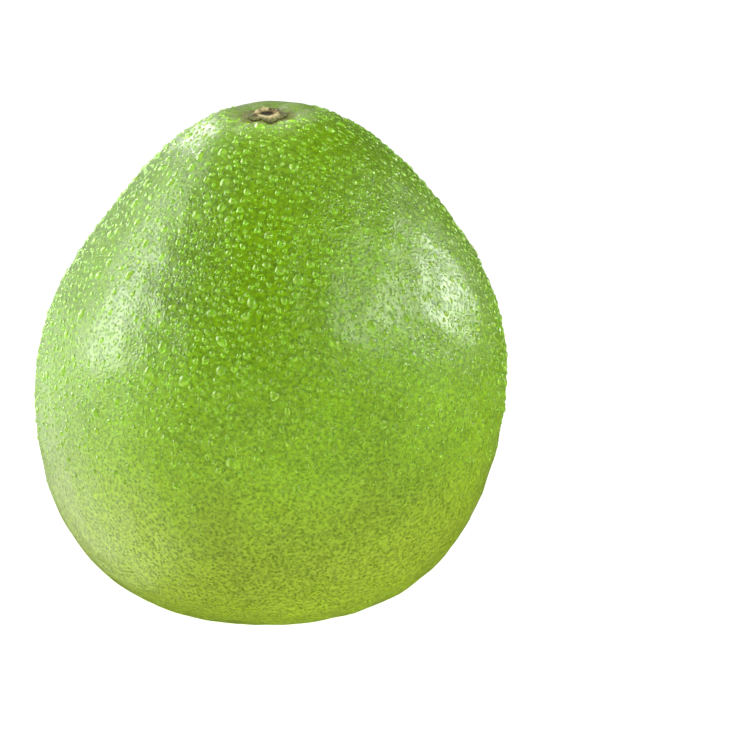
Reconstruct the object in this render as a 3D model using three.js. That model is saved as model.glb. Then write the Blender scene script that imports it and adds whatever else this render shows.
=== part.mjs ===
// A whole pomelo (Citrus maxima): a broad, blunt pear of a fruit that stands on a small flat spot, with a shallow
// furrowed dimple at its crown and the dry five-lobed stem button that sits in the dimple.
// Millimetres, +Z up. The origin is the centre of the flat spot. About 156 mm across and 169 mm tall.

import * as THREE from "three";

// ---- Driving dimensions: the rind ----
// A point of the rind is found by its polar angle, 0 at the crown's pole and 180 at the base, and its azimuth.
const MEAN_RADIUS = 81.5; // distance from the fruit's middle to its skin, taken all round
const OUTLINE_WAVES = [
  { turns: 2, depth: 3.9 }, // taller than wide
  { turns: 3, depth: 3.4 }, // narrow shoulders over a broad base: the pear shape
  { turns: 4, depth: 0.2 },
  { turns: 5, depth: 1.5 }, // a blunter crown and a flatter base
];
const LEAN = 1.9; // the shoulders lean this far towards +X and the lower half as far towards -X
const NOD = 4.2; // the crown nods this far out of line, and tips the same way
const NOD_AZIMUTH = THREE.MathUtils.degToRad(255); // almost towards -Y
const LOBES = [
  { count: 2, share: 0.004, phase: 0.6 }, // slightly oval in plan
  { count: 3, share: 0.003, phase: 2.1 },
  { count: 5, share: 0.002, phase: 4.0 },
];
const BASE_LIFT = 1.1; // the underside is pressed up this much at its middle
const BASE_SPREAD = 28;
const FOOT_ANGLE = THREE.MathUtils.degToRad(169); // polar angle of the flat spot's edge: a spot 31 mm across

// ---- Driving dimensions: the stem dimple ----
const DIMPLE_DEPTH = 3.2;
const DIMPLE_RADIUS = 11.5; // at its wall
const FURROWS = 7; // faint folds that run out of the dimple over its rim
const FURROW_DEPTH = 0.9;
const FURROW_MIDDLE = 11; // distance from the stem at which the folds are deepest
const FURROW_SPREAD = 6;
const FURROW_START = 4; // the folds die away within this distance of the stem
const FURROW_PHASE = 3.77;

// ---- Driving dimensions: the stem button ----
const SEAT_GAP = 0.3; // between the button's underside and the rind
const BUTTON_RADIUS = 6.2; // the mean of its lobes' tips and the notches between them
const BUTTON_LOBES = 5;
const LOBE_REACH = 0.8; // a lobe's tip stands out this much past the mean, and a notch as far in
const LOBE_PHASE = 0.3;
const EDGE_THICKNESS = 0.5;
const MIDDLE_THICKNESS = 0.8;
const SCAR_RADIUS = 3.5; // crest of the raised ring where the stalk broke off
const SCAR_HEIGHT = 0.8;
const SCAR_SLANT = 0.6; // the stalk broke off aslant: this share higher towards +Y, and as much lower towards -Y
const SCAR_WIDTH = 1.0;

// ---- Mesh fineness ----
const RIND_SEGMENTS = 72;
const RIND_RINGS = 52;
const RING_CROWDING = 1.7; // above 1, the rings crowd towards the dimple
const BUTTON_SEGMENTS = 40;
const BUTTON_TOP_RINGS = 12;
const BUTTON_UNDER_RINGS = 5;

const FULL_TURN = 2 * Math.PI;

// A smooth bump of height 1 at 0 that has died away by about twice its spread.
function bump(distance, spread) {
  return Math.exp(-((distance / spread) ** 2));
}

// A flat-bottomed dish of depth 1, with its wall at the radius.
function dish(distance, radius) {
  return Math.exp(-((distance / radius) ** 4));
}

// Distance from the fruit's middle to its skin at a polar angle, before the dimple and the flat spot.
function skinRadius(polar) {
  return OUTLINE_WAVES.reduce((sum, wave) => sum + wave.depth * Math.cos(wave.turns * polar), MEAN_RADIUS);
}

// Height of the skin above the fruit's middle, with the dimple pressed in at the crown and the base pressed up.
function skinHeight(polar, azimuth) {
  const reach = skinRadius(polar) * Math.sin(polar);
  const height = skinRadius(polar) * Math.cos(polar);
  if (polar > Math.PI / 2) return height + BASE_LIFT * bump(reach, BASE_SPREAD);
  const fold = 0.5 + 0.5 * Math.cos(FURROWS * azimuth + FURROW_PHASE);
  const furrow = FURROW_DEPTH * fold * bump(reach - FURROW_MIDDLE, FURROW_SPREAD) * (1 - bump(reach, FURROW_START));
  return height - DIMPLE_DEPTH * dish(reach, DIMPLE_RADIUS) - furrow;
}

// A point of the rind, measured from the centre of the flat spot.
function rindPoint(polar, azimuth) {
  const girth = Math.sin(polar) ** 2;
  const swell = LOBES.reduce((sum, lobe) => sum + lobe.share * Math.cos(lobe.count * azimuth + lobe.phase), 0);
  const reach = skinRadius(polar) * Math.sin(polar) * (1 + swell * girth);
  const lean = LEAN * (Math.sin(2 * polar) - Math.sin(2 * FOOT_ANGLE));
  const rise = Math.max(Math.cos(polar), 0);
  const nod = NOD * rise ** 3;
  const slope = (3 * NOD * rise ** 2) / skinRadius(0); // of the bent axis
  const dip = slope * reach * Math.cos(azimuth - NOD_AZIMUTH);
  return new THREE.Vector3(
    reach * Math.cos(azimuth) + lean + nod * Math.cos(NOD_AZIMUTH),
    reach * Math.sin(azimuth) + nod * Math.sin(NOD_AZIMUTH),
    skinHeight(polar, azimuth) - skinHeight(FOOT_ANGLE, 0) - dip,
  );
}

// A closed body from a stack of rings, first at the bottom: pointAt(ring, azimuth) gives each point, and the first and
// last rings are single points on the axis. A lathe supplies the faces, and each of its points is then put in place.
function ringBody(rings, segments, pointAt) {
  const outline = Array.from({ length: rings }, (_, ring) => new THREE.Vector2(1, ring));
  const geometry = new THREE.LatheGeometry(outline, segments);
  geometry.rotateX(Math.PI / 2);
  const position = geometry.getAttribute("position");
  for (let side = 0; side <= segments; side++) {
    const azimuth = ((side % segments) / segments) * FULL_TURN;
    for (let ring = 0; ring < rings; ring++) {
      const point = pointAt(ring, azimuth);
      position.setXYZ(side * rings + ring, point.x, point.y, point.z);
    }
  }
  geometry.computeVertexNormals();
  return geometry;
}

// The rind: the flat spot's centre, then rings from the spot's edge up to the crown's pole.
function makeFruit() {
  const pointAt = (ring, azimuth) => {
    if (ring === 0) return new THREE.Vector3(0, 0, 0);
    const fromPole = (RIND_RINGS - ring) / (RIND_RINGS - 1);
    return rindPoint(FOOT_ANGLE * fromPole ** RING_CROWDING, azimuth);
  };
  const material = new THREE.MeshStandardMaterial({ color: 0x7fae2b, roughness: 0.42, metalness: 0 });
  const fruit = new THREE.Mesh(ringBody(RIND_RINGS + 1, RIND_SEGMENTS, pointAt), material);
  fruit.name = "fruit";
  return fruit;
}

// Thickness of the stem button at a share of the way from its middle to its edge.
function buttonThickness(share, reach, azimuth) {
  const sepals = MIDDLE_THICKNESS + (EDGE_THICKNESS - MIDDLE_THICKNESS) * share;
  const stump = SCAR_HEIGHT * (1 + SCAR_SLANT * Math.sin(azimuth));
  return sepals + stump * bump(reach - SCAR_RADIUS, SCAR_WIDTH);
}

// The button: an underside that follows the dimple, and a lobed top with the raised ring of the stalk's scar.
function makeCalyx() {
  const rings = BUTTON_UNDER_RINGS + BUTTON_TOP_RINGS + 2;
  const pointAt = (ring, azimuth) => {
    const onTop = ring > BUTTON_UNDER_RINGS;
    const share = onTop ? (rings - 1 - ring) / BUTTON_TOP_RINGS : ring / BUTTON_UNDER_RINGS;
    const edge = BUTTON_RADIUS + LOBE_REACH * Math.cos(BUTTON_LOBES * azimuth + LOBE_PHASE);
    const reach = share * edge;
    const point = rindPoint(Math.asin(reach / skinRadius(0)), azimuth);
    point.z += SEAT_GAP + (onTop ? buttonThickness(share, reach, azimuth) : 0);
    return point;
  };
  const material = new THREE.MeshStandardMaterial({ color: 0x8a6a3c, roughness: 0.85, metalness: 0 });
  const calyx = new THREE.Mesh(ringBody(rings, BUTTON_SEGMENTS, pointAt), material);
  calyx.name = "calyx";
  return calyx;
}

const pomelo = new THREE.Group();
pomelo.add(makeFruit(), makeCalyx());

export default pomelo;
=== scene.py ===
"""The looks of the pomelo: its fine skin with oil glands, the stem button in the crown's dimple, and the
water drops that sit on the upper skin. Objects are in metres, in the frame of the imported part: +Z up, the
origin at the centre of the flat spot. The skin and the button repeat the part's own formulas, which are in
millimetres, so they lie where its solids lie.
"""

import itertools
import math
import random
from typing import NamedTuple

import bpy
import numpy as np
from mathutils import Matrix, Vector


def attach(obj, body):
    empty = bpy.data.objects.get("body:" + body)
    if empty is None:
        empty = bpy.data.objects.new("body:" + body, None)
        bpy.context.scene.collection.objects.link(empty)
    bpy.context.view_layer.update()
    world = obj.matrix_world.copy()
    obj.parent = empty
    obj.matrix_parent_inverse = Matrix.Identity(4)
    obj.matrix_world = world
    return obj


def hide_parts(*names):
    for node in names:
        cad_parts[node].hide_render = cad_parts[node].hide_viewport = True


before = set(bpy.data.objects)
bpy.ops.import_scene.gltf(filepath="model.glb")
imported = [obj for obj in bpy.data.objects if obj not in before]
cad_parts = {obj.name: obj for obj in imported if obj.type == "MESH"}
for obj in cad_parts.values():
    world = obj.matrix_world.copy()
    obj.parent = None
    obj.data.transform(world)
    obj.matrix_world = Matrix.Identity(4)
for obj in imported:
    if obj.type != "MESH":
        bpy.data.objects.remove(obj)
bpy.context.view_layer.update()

MM = 0.001  # in metres
FULL_TURN = 2 * math.pi

# ---- The fruit's form, in millimetres, as in the part ----
MEAN_RADIUS = 81.5
OUTLINE_WAVES = ((2, 3.9), (3, 3.4), (4, 0.2), (5, 1.5))  # turns, depth
LEAN = 1.9
NOD = 4.2
NOD_AZIMUTH = math.radians(255)
LOBES = ((2, 0.004, 0.6), (3, 0.003, 2.1), (5, 0.002, 4.0))  # count, share, phase
BASE_LIFT = 1.1
BASE_SPREAD = 28
FOOT_ANGLE = math.radians(169)
DIMPLE_DEPTH = 3.2
DIMPLE_RADIUS = 11.5
FURROWS = 7
FURROW_DEPTH = 0.9
FURROW_MIDDLE = 11
FURROW_SPREAD = 6
FURROW_START = 4
FURROW_PHASE = 3.77

# ---- The stem button, in millimetres, as in the part ----
SEAT_GAP = 0.3
BUTTON_RADIUS = 6.2
BUTTON_LOBES = 5
LOBE_REACH = 0.8
LOBE_PHASE = 0.3
EDGE_THICKNESS = 0.5
MIDDLE_THICKNESS = 0.8
SCAR_RADIUS = 3.5
SCAR_HEIGHT = 0.8
SCAR_SLANT = 0.6
SCAR_WIDTH = 1.0

# ---- Fine relief of the skin, in millimetres ----
PEBBLE_WAVES = 28  # waves that make the skin gently uneven
PEBBLE_LENGTHS = (7, 22)  # the shortest and the longest of them
PEBBLE_HEIGHT = 0.16
FOOT_FADE = 6  # height over which the relief grows from none at the flat spot
NORMAL_STEP = 1e-3  # radians between the points that a normal is worked out from

# ---- Mesh fineness ----
SKIN_SEGMENTS = 480
SKIN_RINGS = 200
RING_CROWDING = 1.25  # above 1, the rings crowd towards the crown
BUTTON_SEGMENTS = 160
BUTTON_TOP_RINGS = 44
BUTTON_UNDER_RINGS = 8

# ---- Colours, linear ----
GREEN_GROUND = (0.270, 0.530, 0.003)
GREEN_GLAND = (0.185, 0.405, 0.002)
OLIVE_GROUND = (0.295, 0.415, 0.020)
OLIVE_GLAND = (0.165, 0.265, 0.001)
# pale bloom round the stem, partly the wax's own and partly painted sheen
STEM_BLOOM_AND_SHEEN = (0.440, 0.590, 0.190)
STEM_CORK = (0.260, 0.210, 0.050)
BUTTON_DARK = (0.130, 0.085, 0.022)
BUTTON_PALE = (0.480, 0.370, 0.130)
BUTTON_CREAM = (0.940, 0.830, 0.400)
BUTTON_TIP = (0.260, 0.290, 0.075)
BUTTON_PIT = (0.030, 0.022, 0.005)
# the pale cloudy inside of a drop is painted light, for the light that it gathers
WATER_RIM = (0.57, 0.80, 0.20)
WATER_INSIDE_PAINTED_LIGHT = (0.42, 0.67, 0.05)
# painted highlight: the bright spots where a drop gathers light
WATER_PAINTED_SPOT = (0.53, 0.75, 0.10)
WHITE = (1, 1, 1)

SEED = 2300
rng = np.random.default_rng(SEED)


# ---- The rind's formula ----


def bump(distance, spread):
    """A smooth bump of height 1 at 0 that has died away by about twice its spread."""
    return np.exp(-((distance / spread) ** 2))


def dish(distance, radius):
    """A flat-bottomed dish of depth 1, with its wall at the radius."""
    return np.exp(-((distance / radius) ** 4))


def smooth_step(low, high, value):
    """0 at low, 1 at high and a smooth change between them, also where low is above high."""
    share = np.clip((value - low) / (high - low), 0, 1)
    return share * share * (3 - 2 * share)


def skin_radius(polar):
    """Distance from the fruit's middle to its skin, in millimetres."""
    return MEAN_RADIUS + sum(depth * np.cos(turns * polar) for turns, depth in OUTLINE_WAVES)


def skin_height(polar, azimuth):
    """Height of the skin above the fruit's middle, with the dimple and the pressed base."""
    reach = skin_radius(polar) * np.sin(polar)
    height = skin_radius(polar) * np.cos(polar)
    fold = 0.5 + 0.5 * np.cos(FURROWS * azimuth + FURROW_PHASE)
    outside_stem = 1 - bump(reach, FURROW_START)
    furrow = FURROW_DEPTH * fold * bump(reach - FURROW_MIDDLE, FURROW_SPREAD) * outside_stem
    crown = -DIMPLE_DEPTH * dish(reach, DIMPLE_RADIUS) - furrow
    base = BASE_LIFT * bump(reach, BASE_SPREAD)
    return height + np.where(polar > math.pi / 2, base, crown)


FOOT_HEIGHT = float(skin_height(FOOT_ANGLE, 0.0))
MIDDLE = Vector((-LEAN * math.sin(2 * FOOT_ANGLE), 0, -FOOT_HEIGHT)) * MM


def smooth_rind(polar, azimuth):
    """Points of the rind in millimetres, from the centre of the flat spot, without the fine relief."""
    girth = np.sin(polar) ** 2
    swell = sum(share * np.cos(count * azimuth + phase) for count, share, phase in LOBES)
    reach = skin_radius(polar) * np.sin(polar) * (1 + swell * girth)
    lean = LEAN * (np.sin(2 * polar) - math.sin(2 * FOOT_ANGLE))
    rise = np.maximum(np.cos(polar), 0)
    nod = NOD * rise**3
    slope = 3 * NOD * rise**2 / skin_radius(0)
    across = reach * np.cos(azimuth) + lean + nod * math.cos(NOD_AZIMUTH)
    deep = reach * np.sin(azimuth) + nod * math.sin(NOD_AZIMUTH)
    dip = slope * reach * np.cos(azimuth - NOD_AZIMUTH)
    return np.stack([across, deep, skin_height(polar, azimuth) - FOOT_HEIGHT - dip], axis=-1)


def pebble_waves():
    """Wave vectors and phases of the waves that make the skin gently uneven."""
    directions = rng.normal(size=(PEBBLE_WAVES, 3))
    directions /= np.linalg.norm(directions, axis=1, keepdims=True)
    lengths = rng.uniform(*PEBBLE_LENGTHS, size=(PEBBLE_WAVES, 1))
    return directions * FULL_TURN / lengths, rng.uniform(0, FULL_TURN, PEBBLE_WAVES)


WAVE_VECTORS, WAVE_PHASES = pebble_waves()


def rind(polar, azimuth):
    """Points of the rind in millimetres, with the fine relief, which fades out at the flat spot."""
    points = smooth_rind(polar, azimuth)
    outward = points - np.array(MIDDLE) / MM
    outward /= np.linalg.norm(outward, axis=-1, keepdims=True)
    relief = np.cos(points @ WAVE_VECTORS.T + WAVE_PHASES).sum(axis=-1) / math.sqrt(PEBBLE_WAVES)
    fade = smooth_step(0, FOOT_FADE, points[..., 2])
    return points + outward * (PEBBLE_HEIGHT * relief * fade)[..., None]


def rind_normals(polar, azimuth):
    """Unit normals of the rind, from differences of its points."""
    down = rind(polar + NORMAL_STEP, azimuth) - rind(polar - NORMAL_STEP, azimuth)
    sideways = rind(polar, azimuth + NORMAL_STEP) - rind(polar, azimuth - NORMAL_STEP)
    normals = np.cross(down, sideways)
    return normals / np.linalg.norm(normals, axis=-1, keepdims=True)


# ---- Meshes ----


def ring_faces(rings, segments):
    """Faces of a closed body of rings: point 0 is the first pole, then the rings, then the last pole."""
    last = 1 + rings * segments
    faces = []
    for side in range(segments):
        beside = (side + 1) % segments
        faces.append((0, 1 + side, 1 + beside))
        faces.append((last, last - segments + beside, last - segments + side))
    for ring in range(rings - 1):
        first = 1 + ring * segments
        for side in range(segments):
            beside = (side + 1) % segments
            faces.append((first + side, first + segments + side, first + segments + beside, first + beside))
    return faces


def add_mesh(name, points_mm, faces, material):
    """A smooth-shaded mesh object from points in millimetres."""
    mesh = bpy.data.meshes.new(name)
    mesh.from_pydata(points_mm * MM, [], faces)
    mesh.polygons.foreach_set("use_smooth", np.ones(len(mesh.polygons), dtype=bool))
    mesh.materials.append(material)
    mesh.update()
    piece = bpy.data.objects.new(name, mesh)
    bpy.context.scene.collection.objects.link(piece)
    return piece


def add_values(piece, name, values):
    """A value for each point of a mesh, which its material reads."""
    piece.data.attributes.new(name, "FLOAT", "POINT").data.foreach_set("value", values.astype(np.float32))


# ---- Short ways to build node trees ----
MIX_COLOURS = (6, 7)  # where a colour Mix node has its two colours among its inputs
MIX_RESULT = 2  # and where it has its colour among its outputs


class Pattern(NamedTuple):
    """A soft noise pattern: the size of its features in millimetres, the values that it runs between, and
    the two levels of the noise that stand for them."""

    size: float
    low: float
    high: float
    levels: tuple = (0.3, 0.7)
    detail: int = 2
    roughness: float = 0.5
    smooth: bool = True


class Nodes:
    """A node tree under construction. An input takes either another node's output or a value."""

    def __init__(self, tree):
        self.tree = tree

    def add(self, kind, inputs=None, **settings):
        """A node with its settings and inputs."""
        node = self.tree.nodes.new(kind)
        for name, value in settings.items():
            setattr(node, name, value)
        for name, value in (inputs or {}).items():
            self.feed(node.inputs[name], value)
        return node

    def feed(self, socket, value):
        """Links a socket to another node's output, or sets its value."""
        if isinstance(value, bpy.types.NodeSocket):
            self.tree.links.new(value, socket)
        elif socket.type == "RGBA":
            socket.default_value = (*value, 1)
        else:
            socket.default_value = value

    def ramp(self, value, low, high, to_low=0.0, to_high=1.0, smooth=True):
        """The value, mapped from low..high to to_low..to_high and clamped."""
        kind = "SMOOTHSTEP" if smooth else "LINEAR"
        inputs = {"Value": value, "From Min": low, "From Max": high, "To Min": to_low, "To Max": to_high}
        return self.add("ShaderNodeMapRange", inputs, interpolation_type=kind).outputs["Result"]

    def math(self, operation, first, second):
        """A Math node."""
        return self.add("ShaderNodeMath", {0: first, 1: second}, operation=operation).outputs[0]


class Shading(Nodes):
    """A node material under construction: its Principled shader, and the nodes that a surface needs."""

    def __init__(self, name):
        self.material = bpy.data.materials.new(name)
        self.material.use_nodes = True
        super().__init__(self.material.node_tree)
        self.shader = self.tree.nodes["Principled BSDF"]
        self.place = self.add("ShaderNodeTexCoord").outputs["Object"]

    def set(self, **values):
        """Values or links for the Principled shader, with _ for the spaces in their names."""
        for name, value in values.items():
            self.feed(self.shader.inputs[name.replace("_", " ")], value)

    def attribute(self, name):
        """A value that the mesh carries at its points."""
        node = self.add("ShaderNodeAttribute", attribute_name=name, attribute_type="GEOMETRY")
        return node.outputs["Fac"]

    def height(self):
        """Height above the floor, in metres."""
        return self.add("ShaderNodeSeparateXYZ", {"Vector": self.place}).outputs["Z"]

    def distance(self, point_mm):
        """Distance in metres from a point given in millimetres."""
        inputs = {0: self.place, 1: tuple(point_mm * MM)}
        return self.add("ShaderNodeVectorMath", inputs, operation="DISTANCE").outputs["Value"]

    def noise(self, size_mm, detail, roughness=0.5):
        """Noise with features of about size_mm."""
        scale = 1 / (size_mm * MM)
        inputs = {"Vector": self.place, "Scale": scale, "Detail": detail, "Roughness": roughness}
        return self.add("ShaderNodeTexNoise", inputs).outputs["Fac"]

    def pattern(self, kind):
        """The values of a Pattern."""
        noise = self.noise(kind.size, kind.detail, kind.roughness)
        return self.ramp(noise, *kind.levels, kind.low, kind.high, kind.smooth)

    def mix(self, share, first, second, blend="MIX"):
        """A colour mix."""
        inputs = {"Factor": share, MIX_COLOURS[0]: first, MIX_COLOURS[1]: second}
        return self.add("ShaderNodeMix", inputs, data_type="RGBA", blend_type=blend).outputs[MIX_RESULT]

    def bump(self, height, depth_mm, strength, under=None):
        """A bump of that depth, laid over another one if given."""
        inputs = {"Height": height, "Distance": depth_mm * MM, "Strength": strength}
        if under is not None:
            inputs["Normal"] = under
        return self.add("ShaderNodeBump", inputs).outputs["Normal"]


# ---- The rind's material ----
GLAND_PITCH = 1.18  # millimetres between neighbouring oil glands
GLAND_SCATTER = 0.9  # 0 for an even net of glands, 1 for a random one
GLAND_FADE = (0.68, 0.34)  # in pitches from a gland's middle: where it starts and where it is full
GLAND_WARP = 0.3  # pitches by which a noise draws the glands in, so that some are smaller
GLAND_WARP_SIZE = 3.0  # millimetres, of that noise
GLAND_BUMP = (0.12, 0.7)  # depth in millimetres and strength of the glands' pits
GRAIN_SIZE = 0.9  # millimetres, of the fine grain over all
GRAIN_BUMP = (0.12, 0.6)

GREEN_HEIGHTS = (0.020, 0.110)  # metres, where the underside's olive starts to turn green and where it has
GREEN_STRAY = Pattern(24, -0.006, 0.006, detail=3)  # metres by which those heights stray
TONE_PATCHES = Pattern(38, 0.90, 1.10)  # darker and paler patches, which multiply the colour
TONE_MOTTLE = Pattern(1.3, 0.80, 1.20, levels=(0.35, 0.65))

# Metres from the stem's middle at which each change round the stem starts, and at which it is full
BLOOM_AND_SHEEN_FADE = (0.024, 0.010)
CORK_FADE = (0.0105, 0.0075)
DULL_FADE = (0.022, 0.012)
# Metres by which those distances stray
STEM_RAGGED = Pattern(2.2, -0.0035, 0.0035, levels=(0.25, 0.75), detail=4, roughness=0.65, smooth=False)
# patches of the pale bloom round the stem, partly painted sheen
BLOOM_AND_SHEEN_PATCHES = Pattern(2.0, 0.15, 1.0, levels=(0.42, 0.56), detail=4, roughness=0.7)
BLOOM_AND_SHEEN_SHARE = 0.85
CORK_SHARE = 0.6

POLISH = Pattern(6, 0.31, 0.37)  # roughness of the waxy skin
DULL_ROUGHNESS = (0.31, 0.70)  # away from the stem and beside it
SKIN_GLOW = 0.08  # share of the light that sinks into the skin
SKIN_GLOW_DEPTH = 0.004  # metres
SKIN_GLOW_COLOURS = (0.5, 1.0, 0.15)  # shares of that depth that red, green and blue light reach


def gland_pattern(skin):
    """1 on the oil glands and 0 on the net between them."""
    inputs = {"Vector": skin.place, "Scale": 1 / (GLAND_PITCH * MM), "Randomness": GLAND_SCATTER}
    cells = skin.add("ShaderNodeTexVoronoi", inputs)
    warp = skin.math("MULTIPLY", skin.noise(GLAND_WARP_SIZE, detail=1), GLAND_WARP)
    return skin.ramp(skin.math("ADD", cells.outputs["Distance"], warp), *GLAND_FADE)


def rind_colour(skin, gland):
    """Dark glands on a paler ground, olive at the base and green above, in uneven tones."""
    green = skin.ramp(skin.math("ADD", skin.height(), skin.pattern(GREEN_STRAY)), *GREEN_HEIGHTS)
    ground = skin.mix(green, OLIVE_GROUND, GREEN_GROUND)
    spots = skin.mix(green, OLIVE_GLAND, GREEN_GLAND)
    tone = skin.math("MULTIPLY", skin.pattern(TONE_PATCHES), skin.pattern(TONE_MOTTLE))
    return skin.mix(1.0, skin.mix(gland, ground, spots), tone, blend="MULTIPLY")


def stem_colour(skin, colour, from_stem):
    """The colour with a patchy pale bloom and painted sheen round the stem, and a thin ring of cork at the
    button.
    """
    bloom_and_sheen = skin.ramp(from_stem, *BLOOM_AND_SHEEN_FADE, 0, BLOOM_AND_SHEEN_SHARE)
    colour = skin.mix(skin.math("MULTIPLY", bloom_and_sheen, skin.pattern(BLOOM_AND_SHEEN_PATCHES)), colour, STEM_BLOOM_AND_SHEEN)
    return skin.mix(skin.ramp(from_stem, *CORK_FADE, 0, CORK_SHARE), colour, STEM_CORK)


def rind_material():
    """Waxy green rind with oil glands, duller round the stem."""
    skin = Shading("pomelo_rind")
    gland = gland_pattern(skin)
    from_stem = skin.math("ADD", skin.distance(rind(0.0, 0.0)), skin.pattern(STEM_RAGGED))
    pits = skin.bump(gland, *GLAND_BUMP)
    dull = skin.ramp(from_stem, *DULL_FADE, *DULL_ROUGHNESS)
    skin.set(
        Base_Color=stem_colour(skin, rind_colour(skin, gland), from_stem),
        Roughness=skin.math("MAXIMUM", skin.pattern(POLISH), dull),
        Normal=skin.bump(skin.noise(GRAIN_SIZE, detail=2), *GRAIN_BUMP, under=pits),
        Subsurface_Weight=SKIN_GLOW,
        Subsurface_Scale=SKIN_GLOW_DEPTH,
        Subsurface_Radius=SKIN_GLOW_COLOURS,
    )
    return skin.material


# ---- The other materials ----
FIBRE_SIZE = 0.7  # millimetres
FIBRE_LEVELS = (0.38, 0.58)  # levels of the fibres' noise that give the darkest and the palest tone
FIBRE_TONES = (0.4, 1.1)
FIBRE_BUMP = (0.25, 0.7)  # depth in millimetres and strength
CORK_SHADE = Pattern(1.4, 0, 1, levels=(0.35, 0.65))
BUTTON_ROUGHNESS = 0.85

CLEARNESS = (1.0, 0.66)  # of the water at a drop's rim and inside, where the cloudiness is painted light
CLEAR_RIM = 0.5  # how far in the rim reaches, where 0 is the edge and 1 the top
SPOT_CLOUD = 0.36  # how much less clear a painted bright spot is
WATER_ROUGHNESS = 0.18
WATER_IOR = 1.33

PAPER_TONE = Pattern(400, 0.90, 0.92, detail=1)
PAPER_ROUGHNESS = 0.9


def button_material():
    """Dry, corky brown: olive at the lobes' tips, cream on the torn crest and dark in the pit."""
    cork = Shading("stem_button")
    fibres = cork.noise(FIBRE_SIZE, detail=4, roughness=0.65)
    colour = cork.mix(cork.pattern(CORK_SHADE), BUTTON_DARK, BUTTON_PALE)
    colour = cork.mix(cork.attribute("tip"), colour, BUTTON_TIP)
    colour = cork.mix(1.0, colour, cork.ramp(fibres, *FIBRE_LEVELS, *FIBRE_TONES), blend="MULTIPLY")
    colour = cork.mix(cork.attribute("cream"), colour, BUTTON_CREAM)
    colour = cork.mix(cork.attribute("pit"), colour, BUTTON_PIT)
    cork.set(Base_Color=colour, Roughness=BUTTON_ROUGHNESS, Normal=cork.bump(fibres, *FIBRE_BUMP))
    return cork.material


def water_material():
    """Water, clear at a drop's rim; its cloudy pale inside and bright spots are painted gathered light."""
    water = Shading("water")
    inside = water.attribute("inside")
    painted_spot = water.attribute("painted_spot")
    colour = water.mix(painted_spot, water.mix(inside, WATER_RIM, WATER_INSIDE_PAINTED_LIGHT), WATER_PAINTED_SPOT)
    clear = water.ramp(inside, 0, CLEAR_RIM, *CLEARNESS)
    clear = water.math("SUBTRACT", clear, water.math("MULTIPLY", painted_spot, SPOT_CLOUD))
    water.set(Base_Color=colour, Roughness=WATER_ROUGHNESS, IOR=WATER_IOR, Transmission_Weight=clear)
    return water.material


def floor_material():
    """Plain matt white paper."""
    paper = Shading("studio_floor")
    paper.set(Base_Color=paper.pattern(PAPER_TONE), Roughness=PAPER_ROUGHNESS)
    return paper.material


# ---- The rind ----


def make_skin():
    """The whole rind in one closed mesh, with the flat spot at its base."""
    shares = np.arange(1, SKIN_RINGS + 1) / SKIN_RINGS
    polar = (FOOT_ANGLE * shares**RING_CROWDING)[:, None]
    azimuth = np.arange(SKIN_SEGMENTS) / SKIN_SEGMENTS * FULL_TURN
    rings = rind(polar, azimuth).reshape(-1, 3)
    crown = rind(np.zeros(1), np.zeros(1))
    points = np.concatenate([crown, rings, np.zeros((1, 3))])
    skin = add_mesh("rind_skin", points, ring_faces(SKIN_RINGS, SKIN_SEGMENTS), rind_material())
    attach(skin, "root")
    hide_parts("fruit")


# ---- The stem button ----


class Wander(NamedTuple):
    """A ragged wave round a circle: its depth, how often each of its waves goes round, and its seed."""

    depth: float
    counts: tuple
    seed: int


WAVE_SHARES = (0.5, 1)  # the weakest and the strongest that one wave of a Wander may be
EDGE_TATTERS = Wander(0.35, (7, 11, 16, 23), seed=5)  # in millimetres
RING_WANDER = Wander(0.10, (2, 3, 5, 8), seed=7)  # as a share of the scar's radius
CREST_SWELLS = Wander(0.35, (2, 3, 5, 9), seed=11)  # as a share of the crest's height, as the tears are
CREST_TEARS = Wander(0.22, (13, 17, 29, 37), seed=21)
CREAM_GAPS = Wander(1.0, (1, 2, 5), seed=3)
CREST_SHARE = 0.7  # the torn crest is as high as this share of the part's smooth ring
CREST_NARROWING = 0.6  # and as wide as this share of it
PIT_RADIUS = 2.2  # millimetres, of the dark pit inside the scar
PIT_DEPTH = 0.6  # millimetres
PIT_FADE = 0.6  # millimetres on either side of the pit's edge over which its dark fades
WAVELET_DEPTH = 0.12  # millimetres, of the wrinkles that run round the button
WAVELET_RATE = 3.1  # radians for each millimetre
WAVELET_BEND = 2  # radians by which they bend with the lobes
RIB_DEPTH = 0.1  # millimetres, of the wrinkles that run outwards
RIBS = 19
WRINKLE_FADE = (0.5, 2)  # millimetres from the stem over which the wrinkles grow
LEAST_THICKNESS = 0.15  # millimetres, in the deepest wrinkles and in the pit
CREAM_WIDTH = 0.9  # millimetres on either side of the crest over which its cream fades
CREAM_FADE = (-0.5, 0.1)  # from the gaps in the cream to full cream, as heights of their wave
TIP_FADE = (0.60, 0.88)  # from brown to the olive tips, as shares of the way to the edge


def uneven(azimuth, wander):
    """The height of a Wander at an azimuth."""
    draw = random.Random(wander.seed)
    total = 0
    for count in wander.counts:
        wave = np.cos(count * azimuth + draw.uniform(0, FULL_TURN))
        total = total + wave * draw.uniform(*WAVE_SHARES)
    return wander.depth * total / math.sqrt(len(wander.counts))


def on_seat(reach, azimuth):
    """Points of the button's underside, just over the rind, at a distance from the stem."""
    points = rind(np.arcsin(reach / skin_radius(0)), azimuth)
    points[..., 2] += SEAT_GAP
    return points


def scar_ring(azimuth):
    """Distance of the torn crest from the stem."""
    return SCAR_RADIUS * (1 + uneven(azimuth, RING_WANDER))


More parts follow.
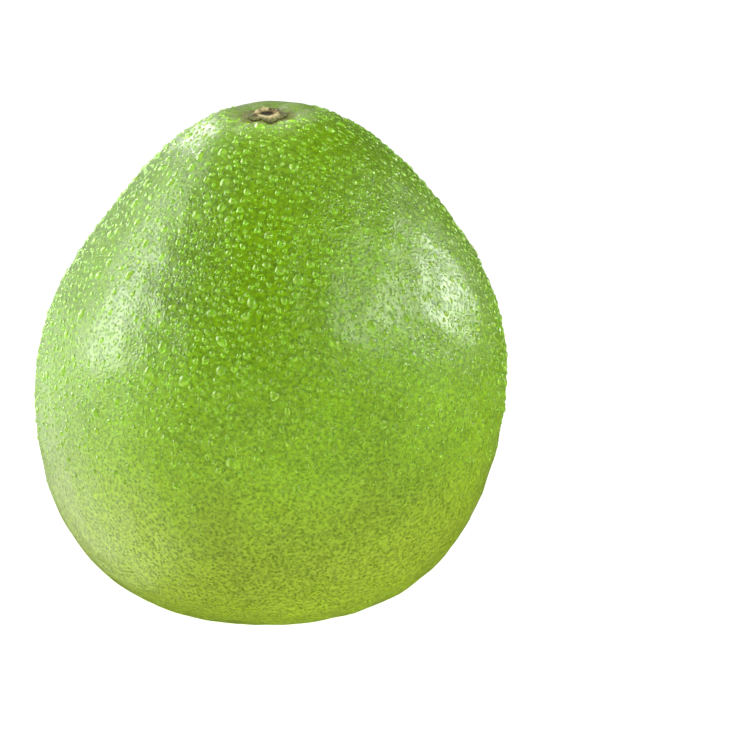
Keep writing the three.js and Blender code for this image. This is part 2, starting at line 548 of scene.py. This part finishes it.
def button_thickness(shares, reach, azimuth):
    """Thickness of the button: its lobes with their wrinkles, the torn crest, and the pit inside it."""
    lobes = MIDDLE_THICKNESS + (EDGE_THICKNESS - MIDDLE_THICKNESS) * shares
    crest = CREST_SHARE * SCAR_HEIGHT * (1 + SCAR_SLANT * np.sin(azimuth))
    crest = crest * (1 + uneven(azimuth, CREST_SWELLS)) * (1 + uneven(azimuth, CREST_TEARS))
    scar = crest * bump(reach - scar_ring(azimuth), CREST_NARROWING * SCAR_WIDTH)
    wavelets = WAVELET_DEPTH * np.cos(WAVELET_RATE * reach + WAVELET_BEND * np.cos(BUTTON_LOBES * azimuth))
    wrinkles = wavelets + RIB_DEPTH * np.cos(RIBS * azimuth + reach)
    pit = PIT_DEPTH * bump(reach, PIT_RADIUS)
    return np.maximum(lobes + scar + wrinkles * smooth_step(*WRINKLE_FADE, reach) - pit, LEAST_THICKNESS)


def add_top_values(button, name, at_middle, values):
    """A value for each point of the button's top. The points of its underside keep 0."""
    everywhere = np.zeros(len(button.data.vertices))
    everywhere[0] = at_middle
    everywhere[1 : 1 + values.size] = values.reshape(-1)
    add_values(button, name, everywhere)


def paint_button(button, shares, reach, azimuth):
    """The values that say where the button is cream, dark and olive."""
    on_crest = bump(reach - scar_ring(azimuth), CREAM_WIDTH)
    add_top_values(button, "cream", 0, on_crest * smooth_step(*CREAM_FADE, uneven(azimuth, CREAM_GAPS)))
    add_top_values(button, "pit", 1, smooth_step(PIT_RADIUS + PIT_FADE, PIT_RADIUS - PIT_FADE, reach))
    add_top_values(button, "tip", 0, smooth_step(*TIP_FADE, np.broadcast_to(shares, reach.shape)))


def make_button():
    """The stem button: ragged lobes, and the torn ring of the scar round a dark pit."""
    azimuth = np.arange(BUTTON_SEGMENTS) / BUTTON_SEGMENTS * FULL_TURN
    lobed = BUTTON_RADIUS + LOBE_REACH * np.cos(BUTTON_LOBES * azimuth + LOBE_PHASE)
    edge = lobed + uneven(azimuth, EDGE_TATTERS)
    shares = (np.arange(1, BUTTON_TOP_RINGS + 1) / BUTTON_TOP_RINGS)[:, None]
    reach = shares * edge
    top = on_seat(reach, azimuth)
    top[..., 2] += button_thickness(shares, reach, azimuth)
    under_shares = (np.arange(BUTTON_UNDER_RINGS, 0, -1) / BUTTON_UNDER_RINGS)[:, None]
    under = on_seat(under_shares * edge, azimuth)
    seat = on_seat(np.zeros(1), np.zeros(1))
    middle = seat + [0, 0, MIDDLE_THICKNESS - PIT_DEPTH]
    points = np.concatenate([middle, top.reshape(-1, 3), under.reshape(-1, 3), seat])
    faces = ring_faces(BUTTON_TOP_RINGS + BUTTON_UNDER_RINGS, BUTTON_SEGMENTS)
    button = add_mesh("stem_button", points, faces, button_material())
    paint_button(button, shares, reach, azimuth)
    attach(button, "root")
    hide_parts("calyx")


# ---- Water drops ----


class DropSize(NamedTuple):
    """The drops of one mesh: how many at most, the smallest and largest radius and the height below which
    there are none, in millimetres, the share of them that bare patches keep, and each one's mesh."""

    name: str
    wanted: int
    smallest: float
    largest: float
    dry_below: float
    in_bare: float
    sides: int
    rings: int


DROP_SIZES = (
    DropSize("drops_large", 380, 1.30, 2.0, dry_below=66, in_bare=0.0, sides=18, rings=5),
    DropSize("drops_middle_a", 2300, 0.75, 1.30, dry_below=54, in_bare=0.1, sides=12, rings=3),
    DropSize("drops_middle_b", 2300, 0.75, 1.30, dry_below=54, in_bare=0.1, sides=12, rings=3),
    DropSize("drops_small", 6000, 0.35, 0.65, dry_below=40, in_bare=0.7, sides=8, rings=2),
)
TRIES = 5  # places tried for each drop wanted
SMALL_BIAS = 1.5  # above 1, the smaller radii of a size are the commoner ones
WETTING = 44  # millimetres of height over which a size grows from none to as many as there is room for
BARE_PATCHES = ((222, 70, 25), (322, 58, 18))  # azimuth and polar angle in degrees, reach in millimetres
BARE_FADE = (0.4, 1.1)  # shares of a bare patch's reach over which the drops grow again
DRY_CROWN = (math.radians(5), math.radians(80))  # polar angle and azimuth of the dry place at the stem
DRY_FADE = (12, 19)  # millimetres from there over which the drops grow again
SPACING = 1.08  # near drops are at least this many times the sum of their radii apart
CELL = 3.6  # millimetres, side of the cells: a new drop is only tested against those in the cells round it
CELL_STEPS = tuple(itertools.product((-1, 0, 1), repeat=3))

CONTACT_ANGLE = math.radians(54)  # between the skin and a drop's surface at its edge
EDGE_DEPTH = 0.10  # share of a drop's radius by which its edge is sunk into the skin
ROOT_DEPTH = 0.5  # and by which the point that closes it below is sunk
DROP_TURN = 0.5  # radians by which a drop's length strays from straight downhill
DROP_STRETCH = (1.0, 1.35)  # how much longer than wide a drop is
OUTLINE_TURNS = (2, 3)  # a drop's outline has two waves, which go round it this often
OUTLINE_DEPTHS = (0.0, 0.12)
# The painted light of the drops: two bright spots on each, where light from the left and right gathers
SPOT_TURN = 0.4  # radians by which a drop's two bright spots stray from its left and right
SPOT_BALANCE = (-0.6, 0.6)  # how much brighter than their mean the one may be, and the other as much darker
SPOT_GLOW = (0.4, 1.3)  # their mean brightness
SPOT_TILT = 0.55  # share of the way from a drop's top to its edge where its spots are brightest
SPOT_SPREAD = 0.3  # and how far from there they have died away


def drop_chance(size, points):
    """The chance that a point of the rind keeps a drop: less low down, in bare patches and at the stem."""
    chance = smooth_step(size.dry_below, size.dry_below + WETTING, points[:, 2])
    for azimuth, polar, reach in BARE_PATCHES:
        apart = np.linalg.norm(points - rind(np.radians(polar), np.radians(azimuth)), axis=1)
        chance *= size.in_bare + (1 - size.in_bare) * smooth_step(*BARE_FADE, apart / reach)
    return chance * smooth_step(*DRY_FADE, np.linalg.norm(points - rind(*DRY_CROWN), axis=1))


def claim_place(taken, point, radius):
    """Whether a drop has room beside those in the cells round it. If it has, it takes its place."""
    home = tuple(int(c // CELL) for c in point)
    for dx, dy, dz in CELL_STEPS:
        for x, y, z, other in taken.get((home[0] + dx, home[1] + dy, home[2] + dz), ()):
            apart = (x - point[0]) ** 2 + (y - point[1]) ** 2 + (z - point[2]) ** 2
            if apart < (SPACING * (radius + other)) ** 2:
                return False
    taken.setdefault(home, []).append((*point, radius))
    return True


def drop_places(size, taken):
    """Polar angles, azimuths and radii of the drops of a size, set apart from those in the taken cells."""
    tries = TRIES * size.wanted
    polar = np.arccos(rng.uniform(-1, 1, tries))
    azimuth = rng.uniform(0, FULL_TURN, tries)
    radii = size.smallest + (size.largest - size.smallest) * rng.uniform(0, 1, tries) ** SMALL_BIAS
    points = rind(polar, azimuth)
    kept = np.flatnonzero(rng.uniform(0, 1, tries) < drop_chance(size, points))
    with_room = (index for index in kept if claim_place(taken, points[index], radii[index]))
    chosen = list(itertools.islice(with_room, size.wanted))
    return polar[chosen], azimuth[chosen], radii[chosen]


def dome_reach(tilt):
    """How far out a dome's surface is, as a share of its radius, from its top (0) to its edge (1)."""
    return np.sin(tilt * CONTACT_ANGLE) / math.sin(CONTACT_ANGLE)


def dome_height(tilt):
    """How high a dome's surface is over the skin, as a share of its radius."""
    return (np.cos(tilt * CONTACT_ANGLE) - math.cos(CONTACT_ANGLE)) / math.sin(CONTACT_ANGLE) - EDGE_DEPTH


def drop_axes(polar, azimuth):
    """Unit directions at each drop: out of the skin, along the drop (about downhill) and across it."""
    normal = rind_normals(polar, azimuth)
    down = np.cross(np.cross(normal, [0, 0, -1.0]), normal)
    down /= np.linalg.norm(down, axis=1, keepdims=True)
    level = np.cross(normal, down)
    turn = rng.normal(0, DROP_TURN, len(polar))[:, None]
    along = down * np.cos(turn) + level * np.sin(turn)
    return normal, along, np.cross(normal, along)


def offsets(directions, lengths):
    """Each drop's direction, times its own row of lengths."""
    return directions[:, None, :] * lengths.reshape(len(directions), -1, 1)


def drop_points(size, places):
    """Points of the drops in millimetres, a row for each drop: its top, its rings and its root."""
    polar, azimuth, radius = places
    count = len(polar)
    centre = rind(polar, azimuth)
    normal, along, across = drop_axes(polar, azimuth)
    stretch = np.sqrt(rng.uniform(*DROP_STRETCH, count))[:, None, None]
    depths = rng.uniform(*OUTLINE_DEPTHS, (count, len(OUTLINE_TURNS)))
    phases = rng.uniform(0, FULL_TURN, (count, len(OUTLINE_TURNS)))
    angles = np.arange(size.sides) / size.sides * FULL_TURN
    waves = depths[..., None] * np.cos(np.array(OUTLINE_TURNS)[:, None] * angles + phases[..., None])
    outline = 1 + waves.sum(axis=1, keepdims=True)
    tilts = (np.arange(1, size.rings + 1) / size.rings)[:, None]
    out = dome_reach(tilts) * radius[:, None, None] * outline
    rings = centre[:, None, :] + offsets(along, out * np.cos(angles) * stretch)
    rings += offsets(across, out * np.sin(angles) / stretch)
    rings += offsets(normal, np.broadcast_to(dome_height(tilts) * radius[:, None, None], out.shape))
    top = centre[:, None, :] + offsets(normal, dome_height(0) * radius)
    root = centre[:, None, :] - offsets(normal, ROOT_DEPTH * radius)
    return np.concatenate([top, rings, root], axis=1)


def drop_insides(size):
    """How far inside the rim each point of a drop is, from 0 at its edge to 1 at its top."""
    tilts = np.arange(1, size.rings + 1) / size.rings
    return np.concatenate([[1], np.repeat(1 - tilts**2, size.sides), [0]])


def drop_painted_spots(size, count):
    """Painted light: how bright each point of each drop is, where light from either side gathers in it, 0
    to 1.
    """
    angles = np.arange(size.sides) / size.sides * FULL_TURN
    sideways = np.sin(angles + rng.normal(0, SPOT_TURN, (count, 1)))
    balance = rng.uniform(*SPOT_BALANCE, (count, 1))
    glow = rng.uniform(*SPOT_GLOW, (count, 1))
    pair = np.clip(sideways, 0, 1) ** 2 * (1 + balance) + np.clip(-sideways, 0, 1) ** 2 * (1 - balance)
    tilts = (np.arange(1, size.rings + 1) / size.rings)[:, None]
    spots = np.clip((glow * pair)[:, None, :] * bump(tilts - SPOT_TILT, SPOT_SPREAD), 0, 1)
    return np.pad(spots.reshape(count, -1), ((0, 0), (1, 1)))


def make_drops(size, places, material):
    """One mesh of many closed drops, which bulge from the skin and are a little longer downhill."""
    points = drop_points(size, places)
    count, corners, _ = points.shape
    one = ring_faces(size.rings, size.sides)
    faces = [tuple(corner + drop * corners for corner in face) for drop in range(count) for face in one]
    drops = add_mesh(size.name, points.reshape(-1, 3), faces, material)
    add_values(drops, "inside", np.tile(drop_insides(size), count))
    add_values(drops, "painted_spot", drop_painted_spots(size, count).reshape(-1))
    drops.visible_shadow = False
    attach(drops, "root")
    return drops


def make_water():
    """The drops of every size. The larger ones take their places first."""
    taken = {}
    places = [drop_places(size, taken) for size in DROP_SIZES]
    water = water_material()
    return [make_drops(size, place, water) for size, place in zip(DROP_SIZES, places)]


# ---- Studio ----


class Softbox(NamedTuple):
    """A rectangular light aimed at the fruit, in metres, degrees and watts. Azimuth 0 is on the camera's
    side and 90 on its right."""

    name: str
    azimuth: float
    elevation: float
    width: float
    height: float
    watts: float
    distance: float = 1.0


SHEENS = (  # these show as pale sheens on the skin and don't light it otherwise
    Softbox("softbox_left", -92, 23, 0.42, 0.50, watts=10.5),
    Softbox("softbox_upper_left", -115, 40, 0.42, 0.45, watts=3.1),
    Softbox("softbox_right", 107, 21, 0.38, 0.28, watts=7.6),
    Softbox("softbox_high", 58, 37, 0.60, 0.11, watts=5.6),
    Softbox("crown_glint", -158, 30, 0.15, 0.15, watts=2.8),
)
FILLS = (  # these light the skin without a sheen
    Softbox("front_fill", 0, 5, 1.4, 1.2, watts=4.5, distance=1.3),
    Softbox("left_fill", -66, 16, 0.8, 0.8, watts=2.5),
    Softbox("right_fill", 80, 20, 0.8, 0.8, watts=4.2),
    Softbox("crown_fill", 0, 80, 0.04, 0.04, watts=0.012, distance=0.130),
)
DROP_SHEEN = Softbox("drop_sheen", -118, 28, 1.0, 1.1, watts=14.0)  # a sheen on the drops alone
DROP_GLINTS = (  # these light the drops alone
    Softbox("glints_front", -28, 52, 0.42, 0.36, watts=0.2),
    Softbox("glints_left", -85, 32, 0.50, 0.50, watts=2.6),
)
FLOOR_LIGHT = 3.5  # watts for each square metre
FLOOR_LIGHT_SPREAD = math.radians(120)
FLOOR_HALF = 6.0  # metres from the floor's middle to its sides

ROOM_LEVEL = 0.02  # brightness of the dim room
# Pale walls of the studio: each one's brightness, and the fades at its edges. A fade is an axis, and the
# shares of it in a ray's direction at which the wall ends and at which it is full.
WALLS = (
    # behind, more to the left
    (0.5, (("Y", -0.25, 0.35), ("X", 0.40, -0.20), ("Z", -0.40, -0.10), ("Z", 0.62, 0.30))),
    # low on the left
    (2.6, (("X", -0.30, -0.75), ("Y", -0.65, -0.10), ("Z", -0.95, -0.75), ("Z", 0.35, -0.10))),
)

CAMERA_DISTANCE = 0.9
CAMERA_ELEVATION = math.radians(14)
FRAME_WIDTH_AT_FRUIT = 0.2433  # metres across the picture at the fruit's middle
SENSOR = 36  # millimetres
AIM_RIGHT = 0.0310  # metres by which the fruit's middle is left of the picture's
AIM_UP = 0.0027  # and below it


def make_floor():
    """A plain pale floor."""
    mesh = bpy.data.meshes.new("floor")
    corners = [(x * FLOOR_HALF, y * FLOOR_HALF, 0) for x, y in ((-1, -1), (1, -1), (1, 1), (-1, 1))]
    mesh.from_pydata(corners, [], [(0, 1, 2, 3)])
    mesh.materials.append(floor_material())
    floor = bpy.data.objects.new("floor", mesh)
    bpy.context.scene.collection.objects.link(floor)
    floor.visible_glossy = False
    return floor


def make_world():
    """A dim room with pale walls low on the left and behind, and plain white to the camera."""
    world = bpy.data.worlds.new("studio")
    world.use_nodes = True
    room = Nodes(world.node_tree)
    ray = room.add("ShaderNodeTexCoord").outputs["Generated"]
    shares = room.add("ShaderNodeSeparateXYZ", {"Vector": ray}).outputs
    level = ROOM_LEVEL
    for brightness, fades in WALLS:
        wall = brightness
        for axis, end, full in fades:
            wall = room.math("MULTIPLY", wall, room.ramp(shares[axis], end, full))
        level = room.math("ADD", level, wall)
    from_camera = room.add("ShaderNodeLightPath").outputs["Is Camera Ray"]
    seen = room.add("ShaderNodeMix", {"Factor": from_camera, "A": level, "B": 1.0}).outputs["Result"]
    background = room.tree.nodes["Background"]
    room.feed(background.inputs["Color"], WHITE)
    room.feed(background.inputs["Strength"], seen)
    bpy.context.scene.world = world


def add_softbox(box):
    """The lamp of a Softbox."""
    turn, rise = math.radians(box.azimuth), math.radians(box.elevation)
    away = Vector((math.sin(turn) * math.cos(rise), -math.cos(turn) * math.cos(rise), math.sin(rise)))
    light = bpy.data.lights.new(box.name, "AREA")
    light.shape = "RECTANGLE"
    light.size = box.width
    light.size_y = box.height
    light.energy = box.watts
    lamp = bpy.data.objects.new(box.name, light)
    lamp.location = MIDDLE + away * box.distance
    lamp.rotation_euler = (-away).to_track_quat("-Z", "Y").to_euler()
    lamp.visible_camera = False
    bpy.context.scene.collection.objects.link(lamp)
    return lamp


def light_only(lamp, pieces):
    """Lets a lamp light only these pieces, and nothing else block it."""
    lit = bpy.data.collections.new(lamp.name + "_on")
    for piece in pieces:
        lit.objects.link(piece)
    lamp.light_linking.receiver_collection = lit
    lamp.light_linking.blocker_collection = lit


def make_floor_light(floor):
    """A broad sun for the floor alone."""
    sun = bpy.data.lights.new("floor_light", "SUN")
    sun.energy = FLOOR_LIGHT
    sun.angle = FLOOR_LIGHT_SPREAD
    sun.cycles.use_multiple_importance_sampling = False
    lamp = bpy.data.objects.new("floor_light", sun)
    bpy.context.scene.collection.objects.link(lamp)
    light_only(lamp, [floor])


def make_lights(floor, drops):
    """The sheens and fills, a sheen and glints for the drops alone, and a light for the floor alone."""
    for box in SHEENS:
        add_softbox(box).visible_diffuse = False
    for box in FILLS:
        add_softbox(box).visible_glossy = False
    drop_sheen = add_softbox(DROP_SHEEN)
    drop_sheen.visible_diffuse = False
    light_only(drop_sheen, drops)
    for box in DROP_GLINTS:
        light_only(add_softbox(box), drops)
    make_floor_light(floor)


def make_camera():
    """The camera, a little above the fruit, with the fruit left of the middle of the picture."""
    sight = Vector((0, math.cos(CAMERA_ELEVATION), -math.sin(CAMERA_ELEVATION)))
    right = Vector((1, 0, 0))
    up = right.cross(sight)
    camera = bpy.data.objects.new("camera", bpy.data.cameras.new("camera"))
    camera.data.sensor_width = SENSOR
    camera.data.lens = SENSOR * CAMERA_DISTANCE / FRAME_WIDTH_AT_FRUIT
    camera.location = MIDDLE - sight * CAMERA_DISTANCE
    aim = MIDDLE + right * AIM_RIGHT + up * AIM_UP
    camera.rotation_euler = (aim - camera.location).to_track_quat("-Z", "Y").to_euler()
    bpy.context.scene.collection.objects.link(camera)
    bpy.context.scene.camera = camera


make_skin()
make_button()
drops = make_water()
make_world()
make_lights(make_floor(), drops)
make_camera()
bpy.context.scene.view_settings.view_transform = "Standard"
